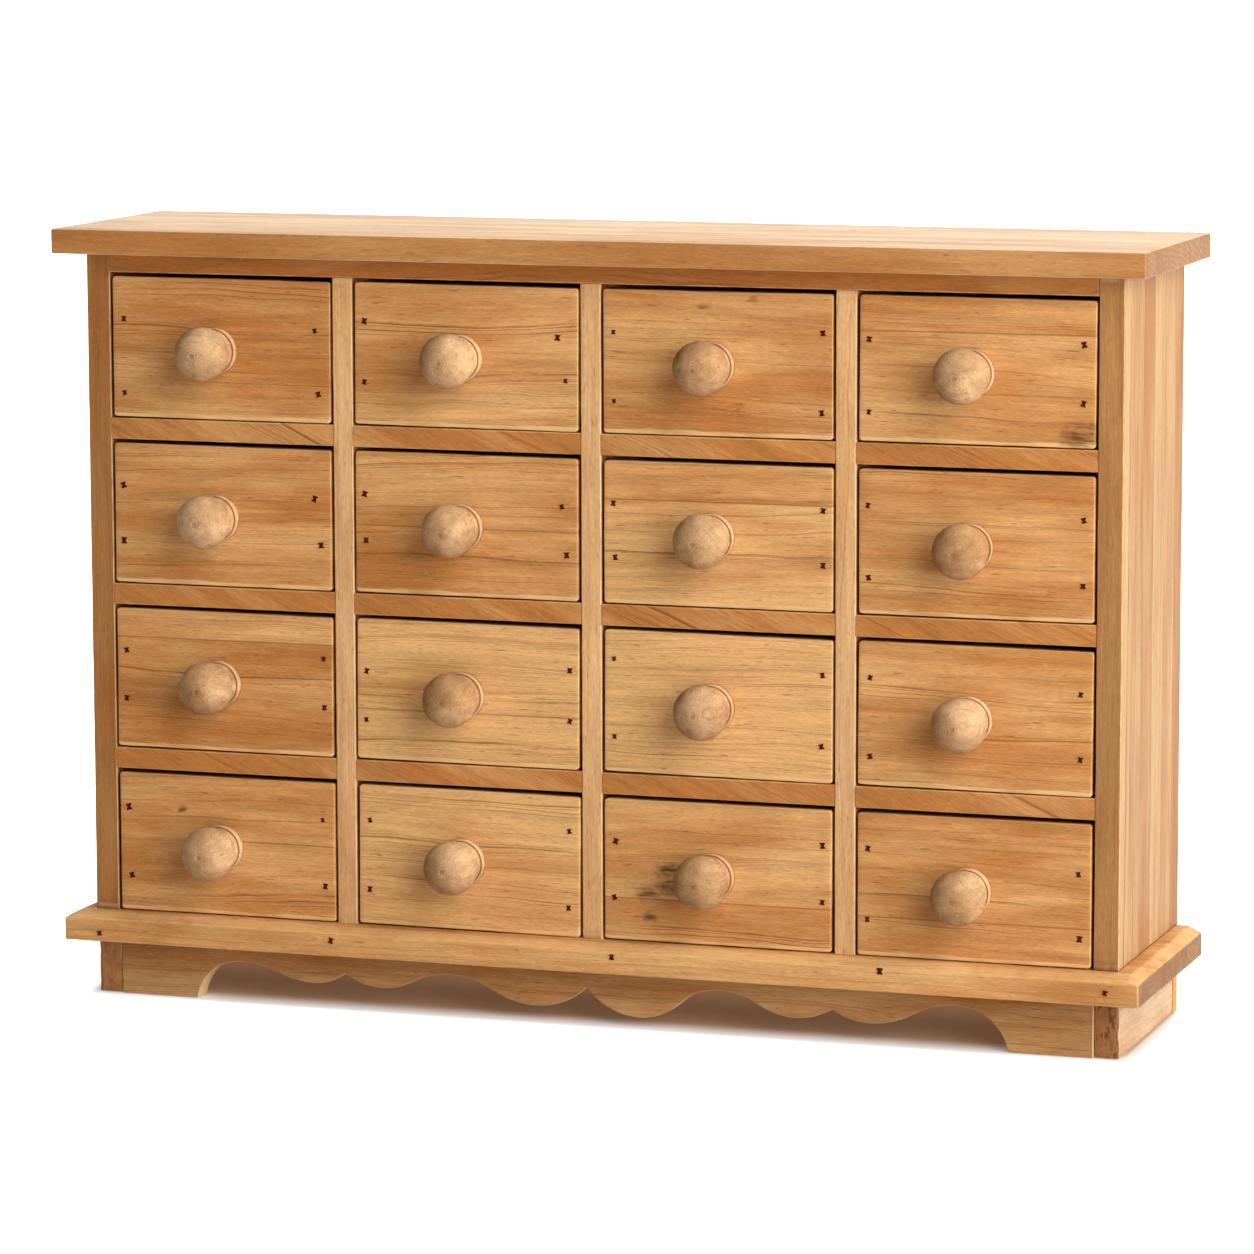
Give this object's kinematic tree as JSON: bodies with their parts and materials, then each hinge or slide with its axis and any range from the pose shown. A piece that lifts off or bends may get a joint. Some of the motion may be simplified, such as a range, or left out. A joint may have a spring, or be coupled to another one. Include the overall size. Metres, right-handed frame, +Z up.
{
  "type": "mini drawer cabinet",
  "caption": "Low wide tabletop chest of small inset wooden drawers in a grid, with turned ball knobs, an overhanging top and a scalloped plinth.",
  "frame": {"origin": "middle of the overall box, knobs included, on the surface that the cabinet stands on", "axes": "+Z up, the drawers face -Y, +X to the right of someone who faces them"},
  "size_m": [0.525, 0.146, 0.366],
  "materials": {
    "carcass_wood": "waxed honey pine",
    "drawer_front_wood": "waxed honey pine",
    "drawer_box_wood": "bare sanded pine",
    "plywood": "bare thin plywood",
    "knob_wood": "bare turned hardwood"
  },
  "bodies": {
    "carcass": {"top_board": "carcass_wood", "left_side": "carcass_wood", "right_side": "carcass_wood", "carcass_top": "carcass_wood", "dividers": "carcass_wood", "shelves": "carcass_wood", "back_panel": "plywood", "base_board": "carcass_wood", "front_apron": "carcass_wood", "left_plinth": "carcass_wood", "right_plinth": "carcass_wood", "back_plinth": "carcass_wood"},
    "drawer_r1_c1": {"drawer_front_r1_c1": "drawer_front_wood", "drawer_box_r1_c1": "drawer_box_wood", "knob_r1_c1": "knob_wood"},
    "drawer_r1_c2": {"drawer_front_r1_c2": "drawer_front_wood", "drawer_box_r1_c2": "drawer_box_wood", "knob_r1_c2": "knob_wood"},
    "drawer_r1_c3": {"drawer_front_r1_c3": "drawer_front_wood", "drawer_box_r1_c3": "drawer_box_wood", "knob_r1_c3": "knob_wood"},
    "drawer_r1_c4": {"drawer_front_r1_c4": "drawer_front_wood", "drawer_box_r1_c4": "drawer_box_wood", "knob_r1_c4": "knob_wood"},
    "drawer_r2_c1": {"drawer_front_r2_c1": "drawer_front_wood", "drawer_box_r2_c1": "drawer_box_wood", "knob_r2_c1": "knob_wood"},
    "drawer_r2_c2": {"drawer_front_r2_c2": "drawer_front_wood", "drawer_box_r2_c2": "drawer_box_wood", "knob_r2_c2": "knob_wood"},
    "drawer_r2_c3": {"drawer_front_r2_c3": "drawer_front_wood", "drawer_box_r2_c3": "drawer_box_wood", "knob_r2_c3": "knob_wood"},
    "drawer_r2_c4": {"drawer_front_r2_c4": "drawer_front_wood", "drawer_box_r2_c4": "drawer_box_wood", "knob_r2_c4": "knob_wood"},
    "drawer_r3_c1": {"drawer_front_r3_c1": "drawer_front_wood", "drawer_box_r3_c1": "drawer_box_wood", "knob_r3_c1": "knob_wood"},
    "drawer_r3_c2": {"drawer_front_r3_c2": "drawer_front_wood", "drawer_box_r3_c2": "drawer_box_wood", "knob_r3_c2": "knob_wood"},
    "drawer_r3_c3": {"drawer_front_r3_c3": "drawer_front_wood", "drawer_box_r3_c3": "drawer_box_wood", "knob_r3_c3": "knob_wood"},
    "drawer_r3_c4": {"drawer_front_r3_c4": "drawer_front_wood", "drawer_box_r3_c4": "drawer_box_wood", "knob_r3_c4": "knob_wood"},
    "drawer_r4_c1": {"drawer_front_r4_c1": "drawer_front_wood", "drawer_box_r4_c1": "drawer_box_wood", "knob_r4_c1": "knob_wood"},
    "drawer_r4_c2": {"drawer_front_r4_c2": "drawer_front_wood", "drawer_box_r4_c2": "drawer_box_wood", "knob_r4_c2": "knob_wood"},
    "drawer_r4_c3": {"drawer_front_r4_c3": "drawer_front_wood", "drawer_box_r4_c3": "drawer_box_wood", "knob_r4_c3": "knob_wood"},
    "drawer_r4_c4": {"drawer_front_r4_c4": "drawer_front_wood", "drawer_box_r4_c4": "drawer_box_wood", "knob_r4_c4": "knob_wood"}
  },
  "joints": [
    {"name": "drawer_slide_r1_c1", "type": "slide", "parent": "carcass", "child": "drawer_r1_c1", "axis": [0, -1, 0], "range_m": [0, 0.095]},
    {"name": "drawer_slide_r1_c2", "type": "slide", "parent": "carcass", "child": "drawer_r1_c2", "axis": [0, -1, 0], "range_m": [0, 0.095]},
    {"name": "drawer_slide_r1_c3", "type": "slide", "parent": "carcass", "child": "drawer_r1_c3", "axis": [0, -1, 0], "range_m": [0, 0.095]},
    {"name": "drawer_slide_r1_c4", "type": "slide", "parent": "carcass", "child": "drawer_r1_c4", "axis": [0, -1, 0], "range_m": [0, 0.095]},
    {"name": "drawer_slide_r2_c1", "type": "slide", "parent": "carcass", "child": "drawer_r2_c1", "axis": [0, -1, 0], "range_m": [0, 0.095]},
    {"name": "drawer_slide_r2_c2", "type": "slide", "parent": "carcass", "child": "drawer_r2_c2", "axis": [0, -1, 0], "range_m": [0, 0.095]},
    {"name": "drawer_slide_r2_c3", "type": "slide", "parent": "carcass", "child": "drawer_r2_c3", "axis": [0, -1, 0], "range_m": [0, 0.095]},
    {"name": "drawer_slide_r2_c4", "type": "slide", "parent": "carcass", "child": "drawer_r2_c4", "axis": [0, -1, 0], "range_m": [0, 0.095]},
    {"name": "drawer_slide_r3_c1", "type": "slide", "parent": "carcass", "child": "drawer_r3_c1", "axis": [0, -1, 0], "range_m": [0, 0.095]},
    {"name": "drawer_slide_r3_c2", "type": "slide", "parent": "carcass", "child": "drawer_r3_c2", "axis": [0, -1, 0], "range_m": [0, 0.095]},
    {"name": "drawer_slide_r3_c3", "type": "slide", "parent": "carcass", "child": "drawer_r3_c3", "axis": [0, -1, 0], "range_m": [0, 0.095]},
    {"name": "drawer_slide_r3_c4", "type": "slide", "parent": "carcass", "child": "drawer_r3_c4", "axis": [0, -1, 0], "range_m": [0, 0.095]},
    {"name": "drawer_slide_r4_c1", "type": "slide", "parent": "carcass", "child": "drawer_r4_c1", "axis": [0, -1, 0], "range_m": [0, 0.095]},
    {"name": "drawer_slide_r4_c2", "type": "slide", "parent": "carcass", "child": "drawer_r4_c2", "axis": [0, -1, 0], "range_m": [0, 0.095]},
    {"name": "drawer_slide_r4_c3", "type": "slide", "parent": "carcass", "child": "drawer_r4_c3", "axis": [0, -1, 0], "range_m": [0, 0.095]},
    {"name": "drawer_slide_r4_c4", "type": "slide", "parent": "carcass", "child": "drawer_r4_c4", "axis": [0, -1, 0], "range_m": [0, 0.095]}
  ]
}
